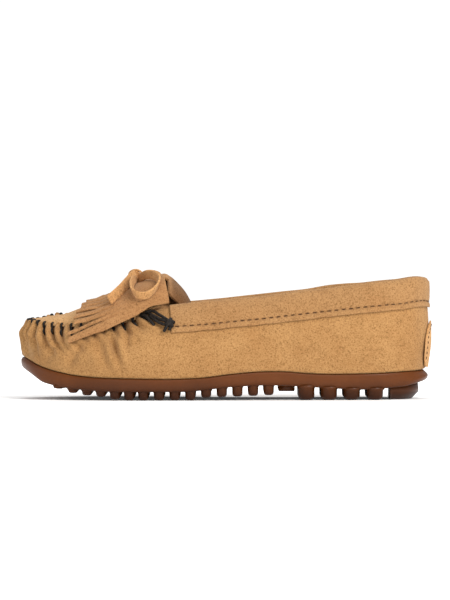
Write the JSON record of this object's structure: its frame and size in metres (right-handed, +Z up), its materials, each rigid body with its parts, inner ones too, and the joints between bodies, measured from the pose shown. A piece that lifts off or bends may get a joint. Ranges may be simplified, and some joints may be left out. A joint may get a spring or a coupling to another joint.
{
  "type": "kilty moccasin",
  "caption": "Low suede slip-on moccasin for the left foot with a whip-stitched toe, a fringed tongue flap tied with a bow, a folded collar and a pegged rubber sole.",
  "frame": {"origin": "on the ground, under the middle of the shoe's bounding box", "axes": "+Z up, +X towards the heel and -X towards the toe, -Y the lateral side of this left shoe"},
  "size_m": [0.2515, 0.0903, 0.0788],
  "materials": {
    "suede": "matte napped suede",
    "rubber": "satin moulded rubber",
    "waxed_cord": "waxed",
    "thread": "matte",
    "board": "matte",
    "foam": "matte",
    "lining": "smooth"
  },
  "bodies": {
    "shoe": {"outsole": "rubber", "insole_board": "board", "foam_cushion": "foam", "sock_liner": "lining", "upper_wrap": "suede", "plug": "suede", "collar_band": "suede", "collar_thread": "thread", "heel_patch": "suede", "heel_patch_thread": "thread", "heel_counter": "board", "heel_lining": "lining", "plug_cord": "waxed_cord"},
    "tongue": {"tongue": "suede"},
    "flap": {"kilty_flap": "suede", "bow_lace": "suede"},
    "fringe": {"kilty_fringe": "suede"}
  },
  "joints": [
    {"name": "tongue_lift", "type": "hinge", "parent": "shoe", "child": "tongue", "pos_m": [-0.038, 0, 0.064], "axis": [0, -1, 0], "range_deg": [0, 15]},
    {"name": "flap_slide", "type": "hinge", "parent": "tongue", "child": "flap", "pos_m": [-0.0203, 0, 0.0575], "axis": [0, -1, 0], "range_deg": [-15, 0]},
    {"name": "fringe_lift", "type": "hinge", "parent": "flap", "child": "fringe", "pos_m": [-0.0735, 0, 0.063], "axis": [0, 1, 0], "range_deg": [0, 40]}
  ],
  "couplings": [
    {"joint": "flap_slide", "follows": "tongue_lift", "ratio": -1}
  ]
}
